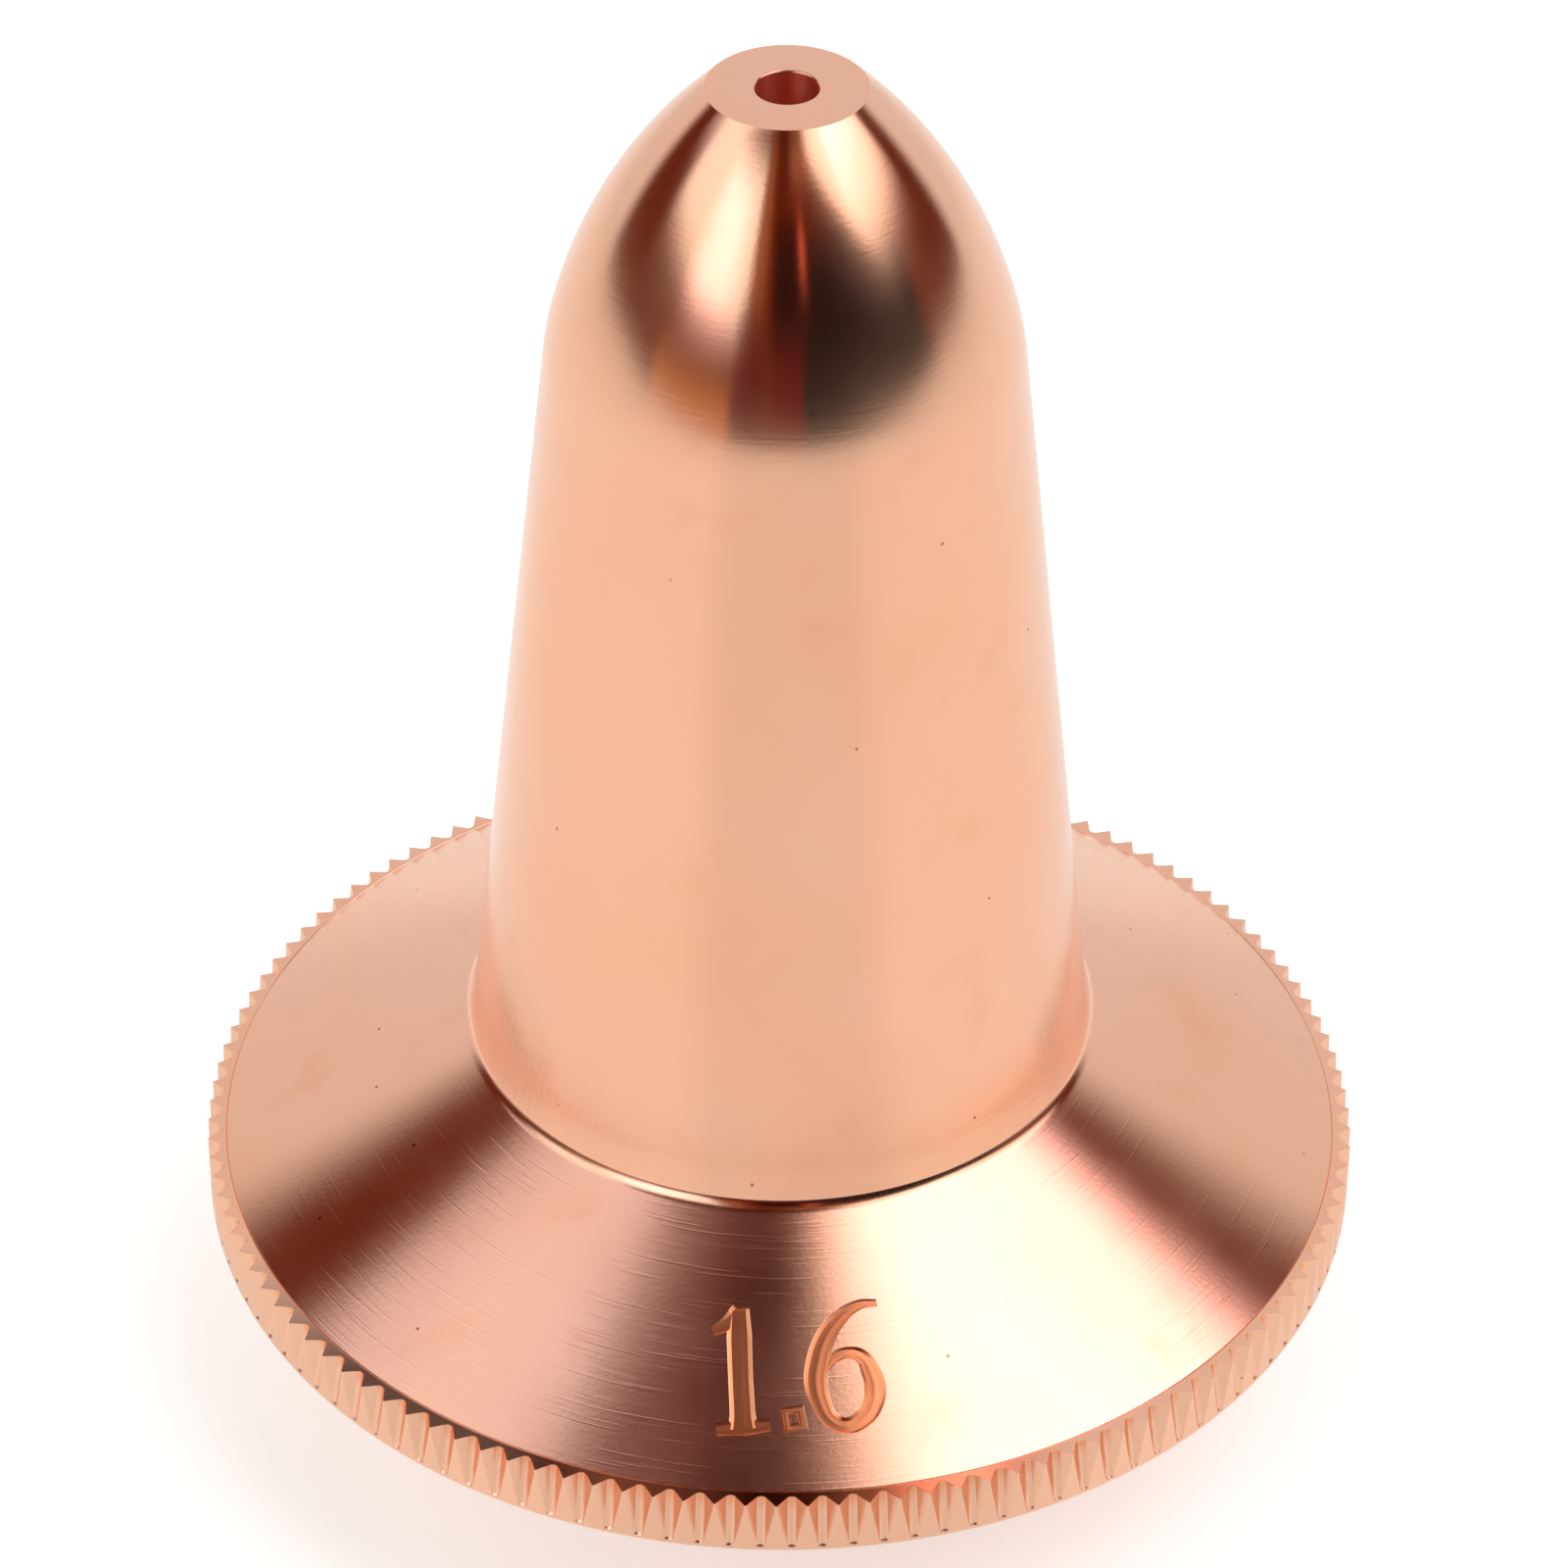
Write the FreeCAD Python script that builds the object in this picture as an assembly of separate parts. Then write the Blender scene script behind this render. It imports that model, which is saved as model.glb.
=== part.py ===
import FreeCAD
import Part
import math
import os

# A laser cutting nozzle, turned from one copper bar. Sizes are in millimetres.
# The origin is the centre of the seat, the flat back of the flange, and +Z is
# the nozzle's axis, towards the tip.

# Flange and its rim
flange_radius = 16.0
band_height = 1.63
collar_height = 0.15
land_width = 0.12

# Straight knurl round the rim
knurl_pitch = 0.81
knurl_depth = 0.38
knurl_root_width = 0.2

# Foot of the body, where it meets the cone flange
foot_radius = 8.56
foot_height = 5.6
foot_fillet_radius = 0.55
fillet_start_angle = 25.0
foot_flare = 0.07
flare_length = 1.0

# Tapered body and bullet nose
taper_angle = 6.2
nose_length = 7.75
shoulder_bend_radius = 8.3
shoulder_bend_angle = 8.8
tip_radius = 2.1
tip_height = 34.62

# Passage for the beam and the gas
orifice_radius = 0.8
orifice_land = 2.0
orifice_edge_break = 0.065
passage_mouth_radius = 4.7
passage_mouth_chamfer = 0.3

# Threaded stub behind the seat, drawn at the thread's outer diameter
thread_radius = 7.0
stub_length = 5.0
stub_chamfer = 0.6

# How far a cutting tool runs past the metal that it cuts
tool_overrun = 1.0


def point(radius, height):
    return FreeCAD.Vector(radius, 0, height)


def leaning(tilt):
    """The unit vector that leans outwards from the axis by tilt."""
    return point(math.sin(tilt), math.cos(tilt))


def line(start, end):
    return Part.LineSegment(start, end).toShape()


def arc(start, middle, end):
    return Part.Arc(start, middle, end).toShape()


def tangent_arc(start, direction, end):
    """The arc that leaves start along direction and passes through end."""
    chord = end - start
    turn = direction.getAngle(chord)
    axis = direction.cross(chord)
    halfway = FreeCAD.Rotation(axis, math.degrees(turn / 2)).multVec(direction)
    reach = chord.Length / (2 * math.cos(turn / 2))
    return arc(start, start + halfway * reach, end)


def stub_outline():
    """From the passage's mouth, round the stub's end and up to the seat."""
    end_face = -stub_length
    mouth = point(passage_mouth_radius + passage_mouth_chamfer, end_face)
    shoulder = point(thread_radius - stub_chamfer, end_face)
    crest = point(thread_radius, end_face + stub_chamfer)
    seat_corner = point(thread_radius, 0)
    return [line(mouth, shoulder), line(shoulder, crest), line(crest, seat_corner)]


def flange_outline():
    """From the seat's inner corner, round the rim to the edge of the cone."""
    seat_corner = point(thread_radius, 0)
    seat_edge = point(flange_radius, 0)
    rim_top = point(flange_radius, band_height)
    return [line(seat_corner, seat_edge), line(seat_edge, rim_top), line(rim_top, cone_edge())]


def cone_edge():
    return point(flange_radius - knurl_depth - land_width, band_height)


def cone_outline():
    """The cone, and the small fillet that turns it up until it runs into the body's foot."""
    start = math.pi / 2 - math.radians(fillet_start_angle)
    foot = point(foot_radius, foot_height)
    centre = foot + leaning(start) * foot_fillet_radius
    edge = cone_edge()
    to_centre = centre - edge
    slope = math.atan2(to_centre.z, -to_centre.x) - math.asin(foot_fillet_radius / to_centre.Length)
    touch = centre - leaning(slope) * foot_fillet_radius
    middle = centre - leaning((slope + start) / 2) * foot_fillet_radius
    return [line(edge, touch), arc(touch, middle, foot)]


def body_outline():
    """The foot's flare, the straight taper, the bend at the shoulder, the nose and the tip face."""
    taper = math.radians(taper_angle)
    bend = math.radians(shoulder_bend_angle)

    def taper_point(height):
        narrowing = (height - foot_height) * math.tan(taper)
        return point(foot_radius - foot_flare - narrowing, height)

    def bend_point(angle):
        return bend_centre + leaning(math.pi / 2 - taper - angle) * shoulder_bend_radius

    foot = point(foot_radius, foot_height)
    flare_top = taper_point(foot_height + flare_length)
    shoulder = taper_point(tip_height - nose_length)
    bend_centre = shoulder - leaning(math.pi / 2 - taper) * shoulder_bend_radius
    nose_foot = bend_point(bend)
    tip_edge = point(tip_radius, tip_height)
    mouth = point(orifice_radius + orifice_edge_break, tip_height)
    return [tangent_arc(flare_top, leaning(-taper) * -1, foot), line(flare_top, shoulder),
            arc(shoulder, bend_point(bend / 2), nose_foot),
            tangent_arc(nose_foot, leaning(-taper - bend), tip_edge), line(tip_edge, mouth)]


def passage_outline():
    """From the tip face down through the orifice to the mouth in the stub."""
    mouth = point(orifice_radius + orifice_edge_break, tip_height)
    bore_top = point(orifice_radius, tip_height - orifice_edge_break)
    bore_foot = point(orifice_radius, tip_height - orifice_land)
    end_face = -stub_length
    cone_foot = point(passage_mouth_radius, end_face + passage_mouth_chamfer)
    mouth_edge = point(passage_mouth_radius + passage_mouth_chamfer, end_face)
    return [line(mouth, bore_top), line(bore_top, bore_foot), line(bore_foot, cone_foot),
            line(cone_foot, mouth_edge)]


def turned_blank():
    """Everything that the lathe makes: one outline, turned about the axis."""
    edges = stub_outline() + flange_outline() + cone_outline() + body_outline() + passage_outline()
    outline = Part.Wire(Part.__sortEdges__(edges))
    return Part.Face(outline).revolve(FreeCAD.Vector(0, 0, 0), FreeCAD.Vector(0, 0, 1), 360)


def knurl_outline():
    """The toothed outline of the rim: sharp ridges with a narrow flat root between them."""
    teeth = round(2 * math.pi * flange_radius / knurl_pitch)
    step = 2 * math.pi / teeth
    root_radius = flange_radius - knurl_depth
    root_half_angle = knurl_root_width / 2 / root_radius
    corners = []
    for tooth in range(teeth):
        ridge = tooth * step
        root = ridge + step / 2
        corners.append(rim_point(flange_radius, ridge))
        corners.append(rim_point(root_radius, root - root_half_angle))
        corners.append(rim_point(root_radius, root + root_half_angle))
    return Part.makePolygon(corners + [corners[0]])


def rim_point(radius, angle):
    return FreeCAD.Vector(radius * math.cos(angle), radius * math.sin(angle), collar_height)


def knurl_grooves():
    """The metal that the knurling wheel presses away, from the collar to above the land."""
    height = band_height - collar_height + tool_overrun
    base = FreeCAD.Vector(0, 0, collar_height)
    ring = Part.makeCylinder(flange_radius + tool_overrun, height, base)
    teeth = Part.Face(knurl_outline()).extrude(FreeCAD.Vector(0, 0, height))
    return ring.cut(teeth)


nozzle = turned_blank().cut(knurl_grooves())

os.makedirs("parts", exist_ok=True)
nozzle.exportStep("parts/nozzle.step")
print("nozzle: valid", nozzle.isValid(), "solids", len(nozzle.Solids), "faces", len(nozzle.Faces))
print("volume", round(nozzle.Volume, 2), "box", nozzle.BoundBox)
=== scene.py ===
import bpy
import math
from mathutils import Matrix, Vector


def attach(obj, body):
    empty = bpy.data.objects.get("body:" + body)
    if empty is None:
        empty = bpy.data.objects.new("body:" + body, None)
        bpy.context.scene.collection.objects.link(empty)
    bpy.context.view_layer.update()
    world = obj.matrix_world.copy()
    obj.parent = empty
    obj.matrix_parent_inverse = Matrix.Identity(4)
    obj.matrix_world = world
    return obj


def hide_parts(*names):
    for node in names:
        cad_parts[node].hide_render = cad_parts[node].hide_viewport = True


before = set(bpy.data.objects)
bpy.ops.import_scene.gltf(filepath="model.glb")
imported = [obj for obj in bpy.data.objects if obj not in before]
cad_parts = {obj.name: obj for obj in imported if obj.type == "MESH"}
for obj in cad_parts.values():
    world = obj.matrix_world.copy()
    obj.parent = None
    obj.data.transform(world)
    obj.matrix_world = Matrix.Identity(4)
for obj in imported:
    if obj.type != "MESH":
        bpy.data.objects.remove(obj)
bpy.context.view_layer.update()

# Turned body: a screw-in laser nozzle, turned from one bar of soft copper, with a bullet nose, a small
# orifice, a tapered body, a cone flange, a flat seat and a stub behind it. This is the outline that the
# lathe cuts, from the rim up over the tip, down the passage and back along the stub.
MM = 0.001

flange_radius = 16.0
band_height = 1.63
knurl_depth = 0.38
land_width = 0.12
crease_width = 0.04
crease_depth = 0.015
foot_radius = 8.56
foot_height = 5.6
foot_fillet = 0.55
fillet_start = math.radians(25.0)
foot_flare = 0.07
flare_length = 1.0
taper = math.radians(6.2)
nose_length = 7.75
shoulder_bend_radius = 8.3
shoulder_bend = math.radians(8.8)
tip_radius = 2.1
tip_height = 34.62
tip_edge_break = 0.04
orifice_radius = 0.8
orifice_edge_break = 0.065
orifice_land = 2.0
mouth_radius = 4.7
mouth_chamfer = 0.3
stub_length = 5.0
thread_radius = 7.0
thread_root_radius = 6.46
thread_pitch = 1.0
relief_radius = 6.3
relief_width = 1.0
seat_edge_radius = 15.0


def at(radius, height):
    """A point of the outline: distance from the axis and height above the seat."""
    return Vector((radius, height))


def leaning(tilt):
    return Vector((math.sin(tilt), math.cos(tilt)))


def straight(start, end, steps=1, hug=0.0):
    """A straight run. hug adds a point that close to each end, so the shading stays even."""
    run = end - start
    shares = [i / steps for i in range(steps)]
    if hug:
        near = hug / run.length
        shares = sorted(shares + [near, 1 - near])
    return [start + run * share for share in shares]


def round_about(centre, start, end, steps):
    """An arc about centre, the short way, without its last point."""
    a = math.atan2(start.y - centre.y, start.x - centre.x)
    b = math.atan2(end.y - centre.y, end.x - centre.x)
    turn = (b - a + math.pi) % (2 * math.pi) - math.pi
    radius = (start - centre).length
    angles = [a + turn * i / steps for i in range(steps)]
    return [centre + Vector((math.cos(t), math.sin(t))) * radius for t in angles]


def round_from(start, direction, end, steps):
    """An arc that leaves start along direction and ends at end."""
    chord = end - start
    side = Vector((-direction.y, direction.x))
    centre = start + side * (chord.length_squared / (2 * side.dot(chord)))
    return round_about(centre, start, end, steps)


land_edge = at(flange_radius - knurl_depth - land_width, band_height)
foot = at(foot_radius, foot_height)
fillet_centre = foot + leaning(math.pi / 2 - fillet_start) * foot_fillet
reach = fillet_centre - land_edge
cone_slope = math.atan2(reach.y, -reach.x) - math.asin(foot_fillet / reach.length)
cone_top = fillet_centre - leaning(cone_slope) * foot_fillet


def cone_outline():
    """From the crease at the land, up the cone and round the fillet to the body's foot."""
    crease = land_edge + at(-crease_width / 2, -crease_depth)
    cone_foot = land_edge + at(-math.cos(cone_slope), math.sin(cone_slope)) * crease_width
    fillet = round_about(fillet_centre, cone_top, foot, 14)
    return [land_edge, crease] + straight(cone_foot, cone_top, 6, 0.05) + fillet


def body_outline():
    """From the foot, up its flare and the taper, over the nose to the tip face."""

    def taper_point(height):
        narrowing = (height - foot_height) * math.tan(taper)
        return at(foot_radius - foot_flare - narrowing, height)

    flare_top = taper_point(foot_height + flare_length)
    shoulder = taper_point(tip_height - nose_length)
    square_off = leaning(math.pi / 2 - taper)
    bend_centre = shoulder - square_off * shoulder_bend_radius
    nose_foot = bend_centre + leaning(math.pi / 2 - taper - shoulder_bend) * shoulder_bend_radius
    tip_side = at(tip_radius, tip_height - tip_edge_break)
    tip_top = at(tip_radius - tip_edge_break, tip_height)
    mouth = at(orifice_radius + orifice_edge_break, tip_height)
    flare = round_from(flare_top, -leaning(-taper), foot, 8)[::-1]
    nose = round_from(nose_foot, leaning(-taper - shoulder_bend), tip_side, 40)
    return ([foot] + flare + straight(flare_top, shoulder, 5, 0.05)[1:]
            + round_about(bend_centre, shoulder, nose_foot, 8) + nose
            + [tip_side] + straight(tip_top, mouth, 2, 0.03))


def passage_outline():
    """Over the orifice's edge, down the bore and the long cone to the mouth in the stub."""
    edge = orifice_edge_break
    mouth = at(orifice_radius + edge, tip_height)
    bore_top = at(orifice_radius, tip_height - edge)
    bore_foot = at(orifice_radius, tip_height - orifice_land)
    cone_foot = at(mouth_radius, mouth_chamfer - stub_length)
    mouth_edge = at(mouth_radius + mouth_chamfer, -stub_length)
    return (round_about(at(orifice_radius + edge, tip_height - edge), mouth, bore_top, 5)
            + straight(bore_top, bore_foot, 2, 0.05) + straight(bore_foot, cone_foot, 8, 0.05)
            + straight(cone_foot, mouth_edge, 1))


def stub_outline():
    """Along the stub's end, up the thread's root to the relief groove, then the seat."""
    end_face = -stub_length
    mouth_edge = at(mouth_radius + mouth_chamfer, end_face)
    end_edge = at(6.1, end_face)
    root_foot = at(thread_root_radius, end_face + 0.36)
    root_top = at(thread_root_radius, -relief_width - 0.16)
    relief_foot = at(relief_radius, -relief_width)
    relief_top = at(relief_radius, -0.2)
    relief_round = round_about(at(relief_radius + 0.2, -0.2), relief_top, at(relief_radius + 0.2, 0), 5)
    return (straight(mouth_edge, end_edge, 1, 0.05) + straight(end_edge, root_foot)
            + straight(root_foot, root_top, 2, 0.05) + straight(root_top, relief_foot)
            + straight(relief_foot, relief_top, 1, 0.05) + relief_round
            + straight(at(relief_radius + 0.2, 0), at(seat_edge_radius, 0), 3, 0.05)
            + [at(seat_edge_radius, 0)])


outline = cone_outline() + body_outline() + passage_outline() + stub_outline()

# Knurled rim: the same copper, pressed with a straight-knurling wheel for the fingers, which leaves
# sharp ridges with round roots between them, a smooth collar under them and a flat land above. One tooth
# is made here, the rim is a ring of them, and the turned body and its finish come with it.
knurl_pitch = 0.81
flank_width = 0.29
flank_depth = 0.34
ridge_round = 0.014
collar_height = 0.15
collar_edge_break = 0.05
groove_rise = 0.33
groove_end = 0.2
teeth = round(2 * math.pi * flange_radius / knurl_pitch)
facets_per_tooth = 3
tooth_angle = 2 * math.pi / teeth

# Where the copper looks different: each pair is where the change begins and where it is complete
rim_from = (15.55, 15.60)
rim_below = (1.62, 1.60)
# root_within bounds a painted shade deep in the knurl's grooves
root_within = (15.74, 15.64)
# land_from, land_above, land_front and land_left bound a painted dark reflection on the land, towards the
# front and the left
land_from = (15.50, 15.51)
land_above = (1.60, 1.62)
land_front = (-6.0, -11.0)
land_left = (6.0, 2.5)
engraved_from = (9.2, 9.3)
engraved_within = (15.0, 14.9)
engraved_below = (0.004, 0.012)
bore_within = (0.82, 0.80)
bore_above = (0.0, 10.0)
scratched_below = (6.2, 6.8)

# The copper's colours and finish, among them painted shade and painted reflections
pink_copper = (0.95, 0.52, 0.355)
warm_copper = (0.95, 0.49, 0.31)
tarnish = (0.90, 0.38, 0.19)
knurl_copper = (0.97, 0.56, 0.38)
# Painted shade: darker, redder copper deep in the knurl's grooves
root_painted_shade = (0.93, 0.40, 0.21)
# Painted dark reflection: nearly black copper on the front of the land
land_painted_dark_reflection = (0.16, 0.07, 0.045)
# Painted shade: darker, redder copper in the troughs of the engraved number
engraved_painted_shade = (0.82, 0.30, 0.13)
# Painted reflection: the red of repeated reflections in the bore
bore_painted_reflection = (0.95, 0.28, 0.16)
speck_brown = (0.30, 0.11, 0.05)
haze_scale = 260.0
haze_roughness = (0.145, 0.19)
cut_roughness = 0.12
bore_roughness = 0.25
mottle_scale = 150.0
tarnish_scale = 420.0
tarnish_share = 0.35
speck_scale = 550.0
speck_share = 0.8
cone_scratches = 0.8
body_scratches = 0.15
grain_scale = 8000.0
relief_depth = 0.0009


def tooth_outline(rise=0.0):
    """One pitch of the rim from ridge to ridge, as (share of the pitch, radius) pairs.

    rise is how far the groove has come up out of the metal, which also makes it narrower.
    """
    lip = max(ridge_round, flank_width * rise / flank_depth) / knurl_pitch
    flank = flank_width / knurl_pitch
    depth = flank_depth - rise
    side = [(0, 0), (lip, ridge_round * 0.3), ((lip + flank) / 2, depth * 0.52), (flank, depth)]
    bow = knurl_depth - flank_depth
    root = [(flank + (1 - 2 * flank) * i / 6, depth + bow * math.sin(math.pi * i / 6)) for i in range(1, 6)]
    whole = side + root + [(1 - share, down) for share, down in side[::-1]]
    return [(share, flange_radius - down) for share, down in whole]


def rim_tooth():
    """The mesh of one tooth, from the crease over the top, down the grooves and under the flange."""
    verts, faces = [], []

    def row(points, height):
        first = len(verts)
        for share, radius in points:
            angle = share * tooth_angle
            verts.append((radius * math.cos(angle) * MM, radius * math.sin(angle) * MM, height * MM))
        return list(range(first, len(verts)))

    def wall(lower, upper):
        for i in range(len(lower) - 1):
            faces.append((lower[i], lower[i + 1], upper[i + 1], upper[i]))

    even = [i / facets_per_tooth for i in range(facets_per_tooth + 1)]
    rim = [(share, flange_radius) for share, _ in tooth_outline(groove_rise)]
    under = [(share, flange_radius - collar_edge_break) for share in even]
    inner_top = row([(share, land_edge.x) for share in even], band_height)
    top = row(tooth_outline(), band_height)
    faces.append(tuple(inner_top[::-1] + top))
    for i in range(1, 7):
        lower = row(tooth_outline(groove_rise * i / 6), band_height - (band_height - groove_end) * i / 6)
        wall(lower, top)
        top = lower
    collar_top = row(rim, collar_height)
    wall(collar_top, top)
    collar = row(rim, collar_edge_break)
    wall(collar, collar_top)
    under_edge = row(under, 0)
    faces.append(tuple(under_edge + collar[::-1]))
    seat = row([(share, seat_edge_radius) for share in even], 0)
    wall(seat, under_edge)
    mesh = bpy.data.meshes.new("rim_tooth")
    mesh.from_pydata(verts, [], faces)
    return bpy.data.objects.new("rim_tooth", mesh)


def add_node(tree, kind, links=(), **settings):
    """A node of that kind. Numbers among the settings name sockets by place, words name properties."""
    node = tree.nodes.new(kind)
    for name, value in settings.items():
        if name.startswith("in_"):
            node.inputs[int(name[3:])].default_value = value
        else:
            setattr(node, name, value)
    for place, source in enumerate(links):
        if source is not None:
            tree.links.new(source, node.inputs[place])
    return node


def math_node(tree, operation, *values):
    node = tree.nodes.new("ShaderNodeMath")
    node.operation = operation
    for place, value in enumerate(values):
        if isinstance(value, (int, float)):
            node.inputs[place].default_value = value
        else:
            tree.links.new(value, node.inputs[place])
    return node.outputs[0]


def turning_tree():
    """Turns the outline about the axis, rings it with teeth, and welds the two."""
    tree = bpy.data.node_groups.new("turned_nozzle", "GeometryNodeTree")
    face = tree.interface
    face.new_socket("Outline", in_out="INPUT", socket_type="NodeSocketGeometry")
    for name, kind in (("Outline points", "NodeSocketInt"), ("Teeth", "NodeSocketInt"),
                       ("Facets per tooth", "NodeSocketInt"), ("Tooth", "NodeSocketObject"),
                       ("Copper", "NodeSocketMaterial")):
        face.new_socket(name, in_out="INPUT", socket_type=kind)
    face.new_socket("Nozzle", in_out="OUTPUT", socket_type="NodeSocketGeometry")
    given = tree.nodes.new("NodeGroupInput").outputs
    count, tooth_count, per_tooth = given["Outline points"], given["Teeth"], given["Facets per tooth"]
    columns = math_node(tree, "MULTIPLY", tooth_count, per_tooth)
    grid = add_node(tree, "GeometryNodeMeshGrid")
    tree.links.new(math_node(tree, "ADD", columns, 1.0), grid.inputs["Vertices X"])
    tree.links.new(count, grid.inputs["Vertices Y"])
    index = tree.nodes.new("GeometryNodeInputIndex").outputs[0]
    column = math_node(tree, "FLOOR", math_node(tree, "DIVIDE", math_node(tree, "ADD", index, 0.5), count))
    place = math_node(tree, "SUBTRACT", index, math_node(tree, "MULTIPLY", column, count))
    angle = math_node(tree, "MULTIPLY", math_node(tree, "DIVIDE", column, columns), 2 * math.pi)
    sample = add_node(tree, "GeometryNodeSampleIndex", data_type="FLOAT_VECTOR")
    tree.links.new(given["Outline"], sample.inputs["Geometry"])
    tree.links.new(tree.nodes.new("GeometryNodeInputPosition").outputs[0], sample.inputs["Value"])
    tree.links.new(place, sample.inputs["Index"])
    turned = add_node(tree, "ShaderNodeVectorRotate", rotation_type="Z_AXIS")
    tree.links.new(sample.outputs[0], turned.inputs["Vector"])
    tree.links.new(angle, turned.inputs["Angle"])
    skin = add_node(tree, "GeometryNodeSetPosition", (grid.outputs["Mesh"],))
    tree.links.new(turned.outputs[0], skin.inputs["Position"])
    points = add_node(tree, "GeometryNodePoints", (tooth_count,))
    tooth = add_node(tree, "GeometryNodeObjectInfo", (given["Tooth"],))
    number = tree.nodes.new("GeometryNodeInputIndex").outputs[0]
    turn = math_node(tree, "DIVIDE", math_node(tree, "MULTIPLY", number, 2 * math.pi), tooth_count)
    heading = tree.nodes.new("ShaderNodeCombineXYZ")
    tree.links.new(turn, heading.inputs[2])
    ring = add_node(tree, "GeometryNodeInstanceOnPoints")
    tree.links.new(points.outputs[0], ring.inputs["Points"])
    tree.links.new(tooth.outputs["Geometry"], ring.inputs["Instance"])
    tree.links.new(heading.outputs[0], ring.inputs["Rotation"])
    rim = add_node(tree, "GeometryNodeRealizeInstances", (ring.outputs[0],))
    both = tree.nodes.new("GeometryNodeJoinGeometry")
    tree.links.new(rim.outputs[0], both.inputs[0])
    tree.links.new(skin.outputs[0], both.inputs[0])
    weld = add_node(tree, "GeometryNodeMergeByDistance")
    tree.links.new(both.outputs[0], weld.inputs["Geometry"])
    weld.inputs["Distance"].default_value = 0.002 * MM
    finish = add_node(tree, "GeometryNodeSetMaterial", (weld.outputs[0],))
    tree.links.new(given["Copper"], finish.inputs["Material"])
    tree.links.new(finish.outputs[0], tree.nodes.new("NodeGroupOutput").inputs[0])
    return tree


def made_by(tree, name, base, **values):
    """The plain mesh object that a node tree makes from a base mesh and its named inputs."""
    holder = bpy.data.objects.new(name, base)
    bpy.context.scene.collection.objects.link(holder)
    modifier = holder.modifiers.new(name, "NODES")
    modifier.node_group = tree
    sockets = {s.name: s.identifier for s in tree.interface.items_tree if s.in_out == "INPUT"}
    for label, value in values.items():
        modifier[sockets[label.replace("_", " ")]] = value
    bpy.context.view_layer.update()
    seen = holder.evaluated_get(bpy.context.evaluated_depsgraph_get())
    mesh = bpy.data.meshes.new_from_object(seen)
    bpy.data.objects.remove(holder)
    made = bpy.data.objects.new(name, mesh)
    bpy.context.scene.collection.objects.link(made)
    return made


def group_sockets(group, wanted):
    """Gives a shader group its named sockets, as (name, in or out, kind, value)."""
    for name, way, kind, value in wanted:
        socket = group.interface.new_socket(name, in_out=way, socket_type="NodeSocket" + kind)
        if value is not None:
            socket.default_value = value


def lathe_rings():
    """Noise drawn out round the axis, as a cutting tool leaves it on every turned face."""
    group = bpy.data.node_groups.new("lathe_rings", "ShaderNodeTree")
    group_sockets(group, [("Rings per metre", "INPUT", "Float", 9000.0), ("Breaks", "INPUT", "Float", 3.0),
                          ("Detail", "INPUT", "Float", 2.0), ("Height", "OUTPUT", "Float", None)])
    given = group.nodes.new("NodeGroupInput").outputs
    spot = group.nodes.new("ShaderNodeTexCoord").outputs["Object"]
    parts = add_node(group, "ShaderNodeSeparateXYZ", (spot,)).outputs
    squares = [math_node(group, "POWER", part, 2.0) for part in parts[:2]]
    radius = math_node(group, "MAXIMUM", math_node(group, "SQRT", math_node(group, "ADD", *squares)), 1e-6)
    round_about = [math_node(group, "MULTIPLY", math_node(group, "DIVIDE", part, radius), given["Breaks"])
                   for part in parts[:2]]
    along = [math_node(group, "MULTIPLY", part, given["Rings per metre"]) for part in (radius, parts[2])]
    vector = add_node(group, "ShaderNodeCombineXYZ", (along[0], along[1], round_about[0]))
    noise = add_node(group, "ShaderNodeTexNoise", (vector.outputs[0], round_about[1]), noise_dimensions="4D")
    noise.inputs["Scale"].default_value = 1.0
    group.links.new(given["Detail"], noise.inputs["Detail"])
    group.links.new(noise.outputs["Fac"], group.nodes.new("NodeGroupOutput").inputs[0])
    return group


def placed_group(tree, group, **values):
    node = tree.nodes.new("ShaderNodeGroup")
    node.node_tree = group
    for label, value in values.items():
        node.inputs[label.replace("_", " ")].default_value = value
    return node.outputs[0]


def noise(tree, spot, scale, detail):
    node = add_node(tree, "ShaderNodeTexNoise", (spot,))
    node.inputs["Scale"].default_value = scale
    node.inputs["Detail"].default_value = detail
    return node.outputs["Fac"]


def ramp(tree, value, low, high, start, end):
    """Goes from start to end as the value goes from low to high, and stays there."""
    node = add_node(tree, "ShaderNodeMapRange", (value,), in_1=low, in_2=high, in_3=start, in_4=end)
    return node.outputs[0]


def blend(tree, share, under, over):
    """A mix of two colours, each a socket or a plain colour."""
    node = tree.nodes.new("ShaderNodeMix")
    node.data_type = "RGBA"
    tree.links.new(share, node.inputs[0])
    for place, value in ((6, under), (7, over)):
        if isinstance(value, tuple):
            node.inputs[place].default_value = (*value, 1)
        else:
            tree.links.new(value, node.inputs[place])
    return node.outputs[2]


def from_axis(tree, parts):
    squares = [math_node(tree, "POWER", part, 2.0) for part in parts[:2]]
    return math_node(tree, "SQRT", math_node(tree, "ADD", *squares))


def where(tree, *conditions):
    """1 where each value is past its limits, and 0 where one falls short. Limits are in millimetres."""
    masks = [ramp(tree, value, limits[0] * MM, limits[1] * MM, 0.0, 1.0) for value, limits in conditions]
    mask = masks[0]
    for other in masks[1:]:
        mask = math_node(tree, "MULTIPLY", mask, other)
    return mask


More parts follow.
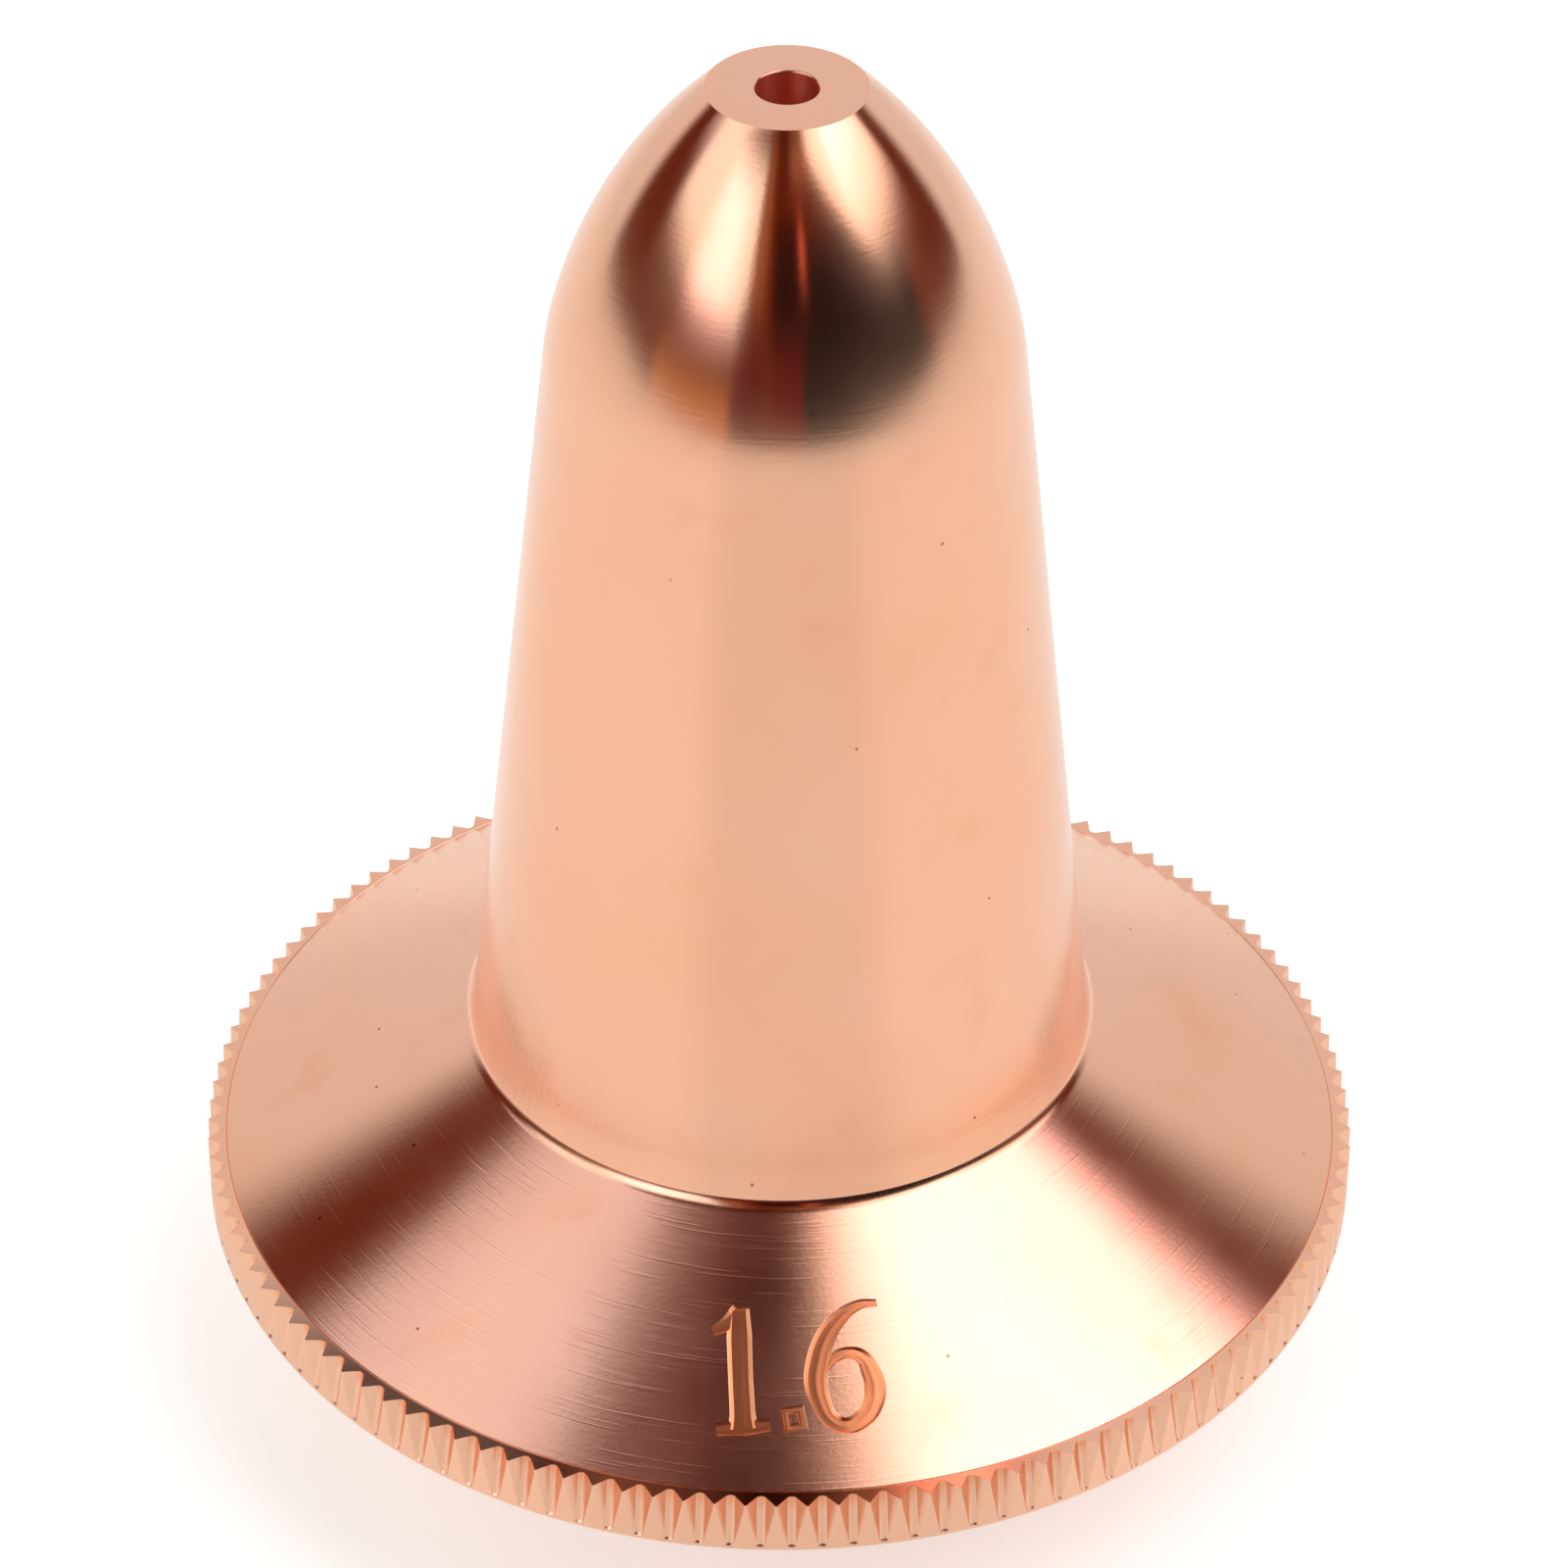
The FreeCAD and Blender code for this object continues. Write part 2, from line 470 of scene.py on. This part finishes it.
def turned_copper():
    """Bare turned copper: ringed and scratched by the tool, mottled by handling, with a few specks, with
    painted shade deep in the knurl and in the engraving, and painted reflections in the bore and on the front
    of the land.
    """
    material = bpy.data.materials.new("turned_copper")
    material.use_nodes = True
    tree = material.node_tree
    shader = tree.nodes["Principled BSDF"]
    shader.inputs["Metallic"].default_value = 1.0
    shader.inputs["Anisotropic"].default_value = 0.75
    shader.inputs["Anisotropic Rotation"].default_value = 0.25
    round_axis = add_node(tree, "ShaderNodeTangent", direction_type="RADIAL", axis="Z")
    tree.links.new(round_axis.outputs[0], shader.inputs["Tangent"])

    spot = tree.nodes.new("ShaderNodeTexCoord").outputs["Object"]
    parts = add_node(tree, "ShaderNodeSeparateXYZ", (spot,)).outputs
    across, along, height = parts
    radius = from_axis(tree, parts)
    cone_height = math_node(tree, "MULTIPLY_ADD", radius, -math.tan(cone_slope),
                            (land_edge.y + land_edge.x * math.tan(cone_slope)) * MM)
    depth = math_node(tree, "SUBTRACT", cone_height, height)
    on_rim = where(tree, (radius, rim_from), (height, rim_below))
    # Painted shade: the copper is darker and redder deep in the knurl's grooves, where shade falls
    in_root = where(tree, (radius, rim_from), (height, rim_below), (radius, root_within))
    # Painted dark reflection: the flat land is painted nearly black towards the front and left, where the
    # cone beside it mirrors the dark front of the tent
    land_painted_reflection_mask = where(tree, (radius, land_from), (height, land_above), (along, land_front),
                      (across, land_left))
    # engraved marks the troughs of the number, which are rougher and carry a painted shade: a darker, redder
    # tone
    engraved = where(tree, (depth, engraved_below), (radius, engraved_from), (radius, engraved_within))
    # in_bore makes the bore rougher and gives it a painted reflection: a deep red tone
    in_bore = where(tree, (radius, bore_within), (height, bore_above))

    haze = ramp(tree, noise(tree, spot, haze_scale, 3.0), 0.3, 0.7, *haze_roughness)
    cut = math_node(tree, "MAXIMUM", on_rim, engraved)
    rougher = math_node(tree, "MULTIPLY", cut, cut_roughness)
    rougher = math_node(tree, "MULTIPLY_ADD", in_bore, bore_roughness, rougher)
    tree.links.new(math_node(tree, "ADD", haze, rougher), shader.inputs["Roughness"])

    mottle = ramp(tree, noise(tree, spot, mottle_scale, 2.0), 0.35, 0.7, 0.0, 1.0)
    tarnished = ramp(tree, noise(tree, spot, tarnish_scale, 5.0), 0.6, 0.75, 0.0, tarnish_share)
    cells = add_node(tree, "ShaderNodeTexVoronoi", (spot,))
    cells.inputs["Scale"].default_value = speck_scale
    specks = ramp(tree, cells.outputs["Distance"], 0.034, 0.022, 0.0, speck_share)
    tone = pink_copper
    # The knurl's roots, the engraving, the bore and the front of the land get painted shade and painted
    # reflections in this stack
    for share, over in ((mottle, warm_copper), (tarnished, tarnish), (on_rim, knurl_copper),
                        (in_root, root_painted_shade), (land_painted_reflection_mask, land_painted_dark_reflection), (engraved, engraved_painted_shade),
                        (in_bore, bore_painted_reflection), (specks, speck_brown)):
        tone = blend(tree, share, tone, over)
    tree.links.new(tone, shader.inputs["Base Color"])

    rings = lathe_rings()
    fine = placed_group(tree, rings, Rings_per_metre=9000.0, Breaks=3.0, Detail=2.0)
    lines = placed_group(tree, rings, Rings_per_metre=14000.0, Breaks=4.0, Detail=1.0)
    low, high = [limit * MM for limit in scratched_below]
    scratched = ramp(tree, height, low, high, cone_scratches, body_scratches)
    scratches = math_node(tree, "MULTIPLY", ramp(tree, lines, 0.60, 0.68, 0.0, 1.0), scratched)
    grained = math_node(tree, "ADD", fine, noise(tree, spot, grain_scale, 2.0))
    relief = math_node(tree, "ADD", grained, scratches)
    bump = tree.nodes.new("ShaderNodeBump")
    bump.inputs["Strength"].default_value = 1.0
    bump.inputs["Distance"].default_value = relief_depth * MM
    tree.links.new(relief, bump.inputs["Height"])
    tree.links.new(bump.outputs[0], shader.inputs["Normal"])
    return material


outline_mesh = bpy.data.meshes.new("outline")
outline_mesh.from_pydata([(p.x * MM, 0, p.y * MM) for p in outline], [], [])
copper = turned_copper()
tooth = rim_tooth()
nozzle = made_by(turning_tree(), "nozzle_blank", outline_mesh, Outline_points=len(outline), Teeth=teeth,
                 Facets_per_tooth=facets_per_tooth, Tooth=tooth, Copper=copper)

# Size number: the orifice's size, 1.6, cut into the copper of the cone with an engraving tool. Each
# stroke is a shallow trough with steep walls and a nearly flat floor.
number_radius = 12.1
trough_depth = 0.19
trough_wall = 0.65
trough_overrun = 0.25
crown_half = 0.15
crown_rise = 0.012
strokes = [
    # The figure one: stem, flag and foot, as (across, up the cone, half width)
    [(-1.03, 1.14, 0.27), (-1.01, 0.4, 0.33), (-0.965, -0.74, 0.32), (-0.905, -1.75, 0.33),
     (-0.89, -2.12, 0.40)],
    [(-1.73, 0.57, 0.15), (-1.43, 0.70, 0.20), (-1.14, 0.90, 0.26), (-0.98, 1.08, 0.28)],
    [(-1.58, -2.16, 0.18), (-1.30, -2.13, 0.20), (-0.88, -2.10, 0.25), (-0.46, -2.08, 0.20),
     (-0.18, -2.04, 0.17)],
    # The figure six: one stroke from its tip round the bowl and back to the stem
    [(2.60, 1.46, 0.10), (2.10, 1.34, 0.14), (1.567, 0.878, 0.22), (1.246, 0.36, 0.275), (1.06, -0.30, 0.315),
     (1.015, -0.85, 0.315), (1.145, -1.41, 0.28), (1.40, -1.84, 0.235), (1.80, -2.00, 0.215),
     (2.25, -1.77, 0.245), (2.49, -1.38, 0.275), (2.564, -0.92, 0.305), (2.44, -0.42, 0.275),
     (2.22, -0.09, 0.21), (1.84, 0.0, 0.16), (1.50, -0.16, 0.145), (1.27, -0.45, 0.13)],
]
point_corners = [(0.21, -1.68), (0.59, -1.62), (0.68, -2.06), (0.29, -2.16)]
point_stroke = 0.17


def stroke_curve():
    """The centre lines of the strokes, drawn flat, with the stroke's half width as the radius."""
    curve = bpy.data.curves.new("number_strokes", "CURVE")
    curve.dimensions = "3D"
    curve.resolution_u = 8
    for stroke in strokes:
        spline = curve.splines.new("BEZIER")
        spline.bezier_points.add(len(stroke) - 1)
        for knot, (across, up, half_width) in zip(spline.bezier_points, stroke):
            knot.co = (across * MM, up * MM, 0)
            knot.radius = half_width
            knot.handle_left_type = knot.handle_right_type = "AUTO"
    loop = curve.splines.new("POLY")
    loop.points.add(len(point_corners) - 1)
    for knot, (across, up) in zip(loop.points, point_corners):
        knot.co = (across * MM, up * MM, 0, 1)
        knot.radius = point_stroke
    loop.use_cyclic_u = True
    return curve


def engraving_tree():
    """Sweeps the trough's section along the strokes and lays the result on the cone."""
    tree = bpy.data.node_groups.new("engraved_number", "GeometryNodeTree")
    tree.interface.new_socket("Strokes", in_out="INPUT", socket_type="NodeSocketGeometry")
    for name in ("Number radius", "Cone slope", "Land radius", "Land height"):
        tree.interface.new_socket(name, in_out="INPUT", socket_type="NodeSocketFloat")
    tree.interface.new_socket("Section", in_out="INPUT", socket_type="NodeSocketObject")
    tree.interface.new_socket("Cutter", in_out="OUTPUT", socket_type="NodeSocketGeometry")
    given = tree.nodes.new("NodeGroupInput").outputs
    upright = add_node(tree, "GeometryNodeSetCurveNormal", (given["Strokes"],), mode="Z_UP")
    section = add_node(tree, "GeometryNodeObjectInfo", (given["Section"],))
    line = add_node(tree, "GeometryNodeMeshToCurve", (section.outputs["Geometry"],))
    sweep = tree.nodes.new("GeometryNodeCurveToMesh")
    tree.links.new(upright.outputs[0], sweep.inputs["Curve"])
    tree.links.new(line.outputs[0], sweep.inputs["Profile Curve"])
    tree.links.new(tree.nodes.new("GeometryNodeInputRadius").outputs[0], sweep.inputs["Scale"])
    sweep.inputs["Fill Caps"].default_value = True
    flat = tree.nodes.new("ShaderNodeSeparateXYZ")
    tree.links.new(tree.nodes.new("GeometryNodeInputPosition").outputs[0], flat.inputs[0])
    across, up, depth = flat.outputs
    cosine = math_node(tree, "COSINE", given["Cone slope"])
    tangent = math_node(tree, "TANGENT", given["Cone slope"])
    towards = math_node(tree, "SUBTRACT", math_node(tree, "MULTIPLY", up, cosine), given["Number radius"])
    radius = math_node(tree, "SQRT", math_node(tree, "ADD", math_node(tree, "POWER", across, 2.0),
                                               math_node(tree, "POWER", towards, 2.0)))
    climb = math_node(tree, "MULTIPLY", math_node(tree, "SUBTRACT", given["Land radius"], radius), tangent)
    height = math_node(tree, "ADD", math_node(tree, "ADD", climb, given["Land height"]),
                       math_node(tree, "DIVIDE", depth, cosine))
    place = tree.nodes.new("ShaderNodeCombineXYZ")
    for socket, value in zip(place.inputs, (across, towards, height)):
        tree.links.new(value, socket)
    laid = add_node(tree, "GeometryNodeSetPosition", (sweep.outputs[0],))
    tree.links.new(place.outputs[0], laid.inputs["Position"])
    tree.links.new(laid.outputs[0], tree.nodes.new("NodeGroupOutput").inputs[0])
    return tree


wall_top = trough_depth * trough_overrun / (1 - trough_wall)
half = [(-1 - trough_overrun, wall_top), (-trough_wall, -trough_depth), (-crown_half, -trough_depth),
        (0, crown_rise - trough_depth)]
section_points = half + [(-u, h) for u, h in half[-2::-1]]
section_mesh = bpy.data.meshes.new("trough_section")
section_mesh.from_pydata([(-u * MM, -h * MM, 0) for u, h in section_points],
                         [(i, (i + 1) % len(section_points)) for i in range(len(section_points))], [])
section = bpy.data.objects.new("trough_section", section_mesh)
cutter = made_by(engraving_tree(), "number_cutter", stroke_curve(), Number_radius=number_radius * MM,
                 Cone_slope=cone_slope, Land_radius=land_edge.x * MM, Land_height=land_edge.y * MM,
                 Section=section)
cut = nozzle.modifiers.new("number", "BOOLEAN")
cut.operation = "DIFFERENCE"
cut.solver = "EXACT"
cut.use_self = True
cut.object = cutter


def plain_mesh(piece, name):
    """The piece with its modifiers made real, as one plain mesh under that name."""
    bpy.context.view_layer.update()
    seen = piece.evaluated_get(bpy.context.evaluated_depsgraph_get())
    made = bpy.data.objects.new(name, bpy.data.meshes.new_from_object(seen))
    bpy.context.scene.collection.objects.link(made)
    bpy.data.objects.remove(piece)
    made.data.materials.clear()
    made.data.materials.append(copper)
    made.data.polygons.foreach_set("material_index", [0] * len(made.data.polygons))
    return made


def shade(piece, sharp_from):
    """Smooth shading that breaks at the machined edges."""
    mesh = piece.data
    mesh.polygons.foreach_set("use_smooth", [True] * len(mesh.polygons))
    mesh.set_sharp_from_angle(angle=math.radians(sharp_from))


nozzle = plain_mesh(nozzle, "nozzle_body")
bpy.data.objects.remove(cutter)
shade(nozzle, 12)
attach(nozzle, "root")
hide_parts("nozzle")

# Thread: the stub's M14 x 1 thread, cut into the copper on the lathe, is one ridge that winds round the
# stub's core and runs out into it at both ends.
thread_foot = -4.55
thread_head = -1.3
crest_half = 0.0625
root_half = 0.375
run_out = 0.06


def thread_tree():
    """One ridge along a helix, fading into the core at both ends."""
    tree = bpy.data.node_groups.new("thread_ridge", "GeometryNodeTree")
    tree.interface.new_socket("Section", in_out="INPUT", socket_type="NodeSocketGeometry")
    for name in ("Core radius", "Pitch", "Foot", "Head", "Run out"):
        tree.interface.new_socket(name, in_out="INPUT", socket_type="NodeSocketFloat")
    tree.interface.new_socket("Steps per turn", in_out="INPUT", socket_type="NodeSocketInt")
    tree.interface.new_socket("Copper", in_out="INPUT", socket_type="NodeSocketMaterial")
    tree.interface.new_socket("Thread", in_out="OUTPUT", socket_type="NodeSocketGeometry")
    given = tree.nodes.new("NodeGroupInput").outputs
    length = math_node(tree, "SUBTRACT", given["Head"], given["Foot"])
    helix = tree.nodes.new("GeometryNodeCurveSpiral")
    tree.links.new(given["Steps per turn"], helix.inputs["Resolution"])
    tree.links.new(math_node(tree, "DIVIDE", length, given["Pitch"]), helix.inputs["Rotations"])
    tree.links.new(given["Core radius"], helix.inputs["Start Radius"])
    tree.links.new(given["Core radius"], helix.inputs["End Radius"])
    tree.links.new(length, helix.inputs["Height"])
    helix.inputs["Reverse"].default_value = True
    upright = add_node(tree, "GeometryNodeSetCurveNormal", (helix.outputs[0],), mode="Z_UP")
    share = tree.nodes.new("GeometryNodeSplineParameter").outputs["Factor"]
    rest = math_node(tree, "SUBTRACT", 1.0, share)
    near = math_node(tree, "DIVIDE", math_node(tree, "MINIMUM", share, rest), given["Run out"])
    scale = math_node(tree, "MAXIMUM", math_node(tree, "MINIMUM", near, 1.0), 0.02)
    line = add_node(tree, "GeometryNodeMeshToCurve", (given["Section"],))
    sweep = tree.nodes.new("GeometryNodeCurveToMesh")
    tree.links.new(upright.outputs[0], sweep.inputs["Curve"])
    tree.links.new(line.outputs[0], sweep.inputs["Profile Curve"])
    tree.links.new(scale, sweep.inputs["Scale"])
    sweep.inputs["Fill Caps"].default_value = True
    lift = tree.nodes.new("ShaderNodeCombineXYZ")
    tree.links.new(given["Foot"], lift.inputs[2])
    placed = add_node(tree, "GeometryNodeSetPosition", (sweep.outputs[0],))
    tree.links.new(lift.outputs[0], placed.inputs["Offset"])
    finish = add_node(tree, "GeometryNodeSetMaterial", (placed.outputs[0],))
    tree.links.new(given["Copper"], finish.inputs["Material"])
    tree.links.new(finish.outputs[0], tree.nodes.new("NodeGroupOutput").inputs[0])
    return tree


core_radius = thread_root_radius - 0.01
ridge_height = thread_radius - core_radius
ridge = [(0, -root_half), (ridge_height, -crest_half), (ridge_height, crest_half), (0, root_half)]
ridge_mesh = bpy.data.meshes.new("thread_section")
ridge_mesh.from_pydata([(u * MM, v * MM, 0) for u, v in ridge], [(0, 1), (1, 2), (2, 3), (3, 0)], [])
thread = made_by(thread_tree(), "thread_ridge", ridge_mesh, Core_radius=core_radius * MM,
                 Pitch=thread_pitch * MM, Foot=thread_foot * MM, Head=thread_head * MM, Run_out=run_out,
                 Steps_per_turn=120, Copper=copper)
shade(thread, 28)
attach(thread, "root")
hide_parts("nozzle")

# Floor, studio and camera: a pale matt floor inside a light tent, with two large soft panels left and right
# of the camera, and dark gaps between them that the copper mirrors. The floor glows with painted light: white
# to the camera, and to reflected rays a glow that is dimmer in a band in front as painted shade and fades
# with distance.
floor_height = -stub_length * MM - 0.00001
floor_corners = [(-3, -0.28), (3, -0.28), (3, 3), (-3, 3)]
floor_colour = (0.75, 0.83, 0.75)
# The floor's glow for reflected rays: weaker in the middle as painted shade, stronger to the sides, fading
# far away
middle_light = 0.27
side_light = 0.36
far_fading = 0.2
camera_light = 0.55
middle_heading = math.radians(3)
middle_half = math.radians(24)
side_from = math.radians(38)

floor_mesh = bpy.data.meshes.new("floor")
floor_mesh.from_pydata([(x, y, floor_height) for x, y in floor_corners], [], [(0, 1, 2, 3)])
floor = bpy.data.objects.new("floor", floor_mesh)
bpy.context.scene.collection.objects.link(floor)
pale = bpy.data.materials.new("pale_floor")
pale.use_nodes = True
tree = pale.node_tree
shader = tree.nodes["Principled BSDF"]
shader.inputs["Base Color"].default_value = (*floor_colour, 1)
shader.inputs["Roughness"].default_value = 0.9
shader.inputs["Specular IOR Level"].default_value = 0.0
shader.inputs["Emission Color"].default_value = (1, 1, 1, 1)
spot = tree.nodes.new("ShaderNodeTexCoord").outputs["Object"]
parts = add_node(tree, "ShaderNodeSeparateXYZ", (spot,)).outputs
# Painted shade on the floor: its glow for reflected rays is dimmer within middle_half of straight ahead and
# fades away from the object
heading = math_node(tree, "ARCTAN2", parts[0], math_node(tree, "MULTIPLY", parts[1], -1.0))
off_middle = math_node(tree, "ABSOLUTE", math_node(tree, "SUBTRACT", heading, middle_heading))
to_side = ramp(tree, off_middle, middle_half, side_from, middle_light, side_light)
fading = ramp(tree, from_axis(tree, parts), 0.03, 0.4, 0.0, far_fading)
lit = math_node(tree, "MAXIMUM", math_node(tree, "SUBTRACT", to_side, fading), 0.0)
to_camera = tree.nodes.new("ShaderNodeLightPath").outputs["Is Camera Ray"]
own_light = add_node(tree, "ShaderNodeMix", (to_camera,))
tree.links.new(lit, own_light.inputs[2])
own_light.inputs[3].default_value = camera_light
tree.links.new(own_light.outputs[0], shader.inputs["Emission Strength"])
floor_mesh.materials.append(pale)


def soft_card():
    """A soft-edged card in the tent, as a mask between two headings and two heights, in degrees."""
    group = bpy.data.node_groups.new("soft_card", "ShaderNodeTree")
    names = ["Heading", "Elevation", "Left", "Right", "Low", "High", "Left lean", "Right lean", "Low lean",
             "High lean"]
    wanted = [(name, "INPUT", "Float", 0.0) for name in names]
    wanted += [("Side blur", "INPUT", "Float", 6.0), ("End blur", "INPUT", "Float", 6.0),
               ("Mask", "OUTPUT", "Float", None)]
    group_sockets(group, wanted)
    given = group.nodes.new("NodeGroupInput").outputs
    rise = math_node(group, "SUBTRACT", given["Elevation"], given["Low"])
    across = math_node(group, "SUBTRACT", given["Heading"], given["Left"])

    def edge(distance, blur):
        ramp = add_node(group, "ShaderNodeMapRange", (math_node(group, "DIVIDE", distance, blur),),
                        interpolation_type="SMOOTHSTEP")
        ramp.inputs[1].default_value, ramp.inputs[2].default_value = -0.5, 0.5
        return ramp.outputs[0]

    left = math_node(group, "ADD", given["Left"], math_node(group, "MULTIPLY", rise, given["Left lean"]))
    right = math_node(group, "ADD", given["Right"], math_node(group, "MULTIPLY", rise, given["Right lean"]))
    low = math_node(group, "ADD", given["Low"], math_node(group, "MULTIPLY", across, given["Low lean"]))
    high = math_node(group, "ADD", given["High"], math_node(group, "MULTIPLY", across, given["High lean"]))
    sides = [edge(math_node(group, "SUBTRACT", given["Heading"], left), given["Side blur"]),
             edge(math_node(group, "SUBTRACT", right, given["Heading"]), given["Side blur"]),
             edge(math_node(group, "SUBTRACT", given["Elevation"], low), given["End blur"]),
             edge(math_node(group, "SUBTRACT", high, given["Elevation"]), given["End blur"])]
    mask = sides[0]
    for side in sides[1:]:
        mask = math_node(group, "MULTIPLY", mask, side)
    group.links.new(mask, group.nodes.new("NodeGroupOutput").inputs[0])
    return group


tent = bpy.data.worlds.new("light_tent")
bpy.context.scene.world = tent
tent.use_nodes = True
tree = tent.node_tree
direction = tree.nodes.new("ShaderNodeTexCoord").outputs["Generated"]
parts = add_node(tree, "ShaderNodeSeparateXYZ", (direction,)).outputs
towards = math_node(tree, "MULTIPLY", parts[1], -1.0)
heading = math_node(tree, "DEGREES", math_node(tree, "ARCTAN2", parts[0], towards))
elevation = math_node(tree, "DEGREES", math_node(tree, "ARCSINE", parts[2]))
card = soft_card()

# Each card lies over the ones before it: its colour, and its place in the tent in degrees
cards = [
    ("dark front", (0.12, 0.019, 0.0023),
     dict(Left=-112.5, Right=115.5, Low=-12, High=95, Left_lean=-0.4, Right_lean=0.25, Side_blur=14)),
    ("high left", (0.98, 1, 1.16),
     dict(Left=-112, Right=-72.5, Low=33.5, High=93, Side_blur=1.5, End_blur=17.5)),
    ("left panel", (1.24, 1.39, 1.42),
     dict(Left=-94, Right=-18.5, Low=24.5, High=53.5, Low_lean=-0.1, Side_blur=11, End_blur=9.5)),
    ("left panel's lamp", (2.3, 2.06, 2.38),
     dict(Left=-59, Right=-32.5, Low=19, High=46.5, Side_blur=17.5, End_blur=6)),
    ("low left", (0.49, 0.21, 0.033),
     dict(Left=-66.5, Right=-23, Low=-7.5, High=4, Side_blur=3.5, End_blur=7)),
    ("left of the lens", (0.30, 0.115, 0.05),
     dict(Left=-22.5, Right=-12.5, Low=13, High=62, Side_blur=5, End_blur=7)),
    ("left of the lens, low", (0.1, 0.0048, 0.0035),
     dict(Left=-26, Right=-11.5, Low=-12, High=23, Side_blur=4.5, End_blur=7)),
    ("black right", (0.0057, 0.0021, 0.0021),
     dict(Left=5, Right=77.5, Low=-12, High=38.5, Side_blur=10.5, End_blur=13)),
    ("high right", (0.5, 0.26, 0.16),
     dict(Left=5, Right=45, Low=52.5, High=59.5, Side_blur=12, End_blur=7)),
    ("right panel", (1.75, 1.71, 1.66),
     dict(Left=61.5, Right=108, Low=26.5, High=91.5, Left_lean=-1.15, Side_blur=5, End_blur=15)),
    ("right panel's lamp", (2.7, 2.3, 2.8),
     dict(Left=55, Right=116, Low=41.5, High=83.5, Side_blur=5, End_blur=18.5)),
    ("dark overhead", (0.051, 0.0088, 0.0051),
     dict(Left=-43.5, Right=37, Low=59.5, High=95, Side_blur=31, End_blur=8)),
    ("red before the lens", (0.12, 0.0026, 0.0028),
     dict(Left=-5, Right=8.5, Low=-12, High=24.5, Side_blur=3, End_blur=8.5)),
    ("red, high", (0.013, 0.0025, 0.003),
     dict(Left=-8, Right=10.5, Low=16, High=42, Side_blur=5, End_blur=7)),
    ("streak", (0.93, 0.22, 0.14),
     dict(Left=9.5, Right=13.5, Low=31, High=41, Side_blur=2.5, End_blur=8.5)),
]
base = (0.80, 0.82, 0.86, 1)
colour = None
for name, tint, place in cards:
    node = tree.nodes.new("ShaderNodeGroup")
    node.node_tree = card
    node.label = name
    tree.links.new(heading, node.inputs["Heading"])
    tree.links.new(elevation, node.inputs["Elevation"])
    for label, value in place.items():
        node.inputs[label.replace("_", " ")].default_value = value
    mix = tree.nodes.new("ShaderNodeMix")
    mix.data_type = "RGBA"
    tree.links.new(node.outputs[0], mix.inputs[0])
    if colour is None:
        mix.inputs[6].default_value = base
    else:
        tree.links.new(colour, mix.inputs[6])
    mix.inputs[7].default_value = (*tint, 1)
    colour = mix.outputs[2]
seen = tree.nodes.new("ShaderNodeLightPath")
backdrop = tree.nodes.new("ShaderNodeMix")
backdrop.data_type = "RGBA"
tree.links.new(seen.outputs["Is Camera Ray"], backdrop.inputs[0])
tree.links.new(colour, backdrop.inputs[6])
backdrop.inputs[7].default_value = (1, 1, 1, 1)
tree.links.new(backdrop.outputs[2], tree.nodes["Background"].inputs["Color"])

camera_data = bpy.data.cameras.new("camera")
camera = bpy.data.objects.new("camera", camera_data)
bpy.context.scene.collection.objects.link(camera)
camera_data.sensor_width = 36.0
camera_data.lens = 134.8
camera_data.clip_start = 0.005
yaw, pitch, roll = math.radians(0.026), math.radians(37.40), math.radians(0.4446)
level = Vector((math.cos(yaw), -math.sin(yaw), 0))
forward = Vector((math.sin(yaw) * math.cos(pitch), math.cos(yaw) * math.cos(pitch), -math.sin(pitch)))
upward = level.cross(forward)
across = level * math.cos(roll) + upward * math.sin(roll)
up = upward * math.cos(roll) - level * math.sin(roll)
camera.matrix_world = Matrix((across, up, -forward)).transposed().to_4x4()
camera.location = Vector((0, -125.56, 108.97)) * MM
bpy.context.scene.camera = camera
bpy.context.scene.view_settings.view_transform = "Standard"
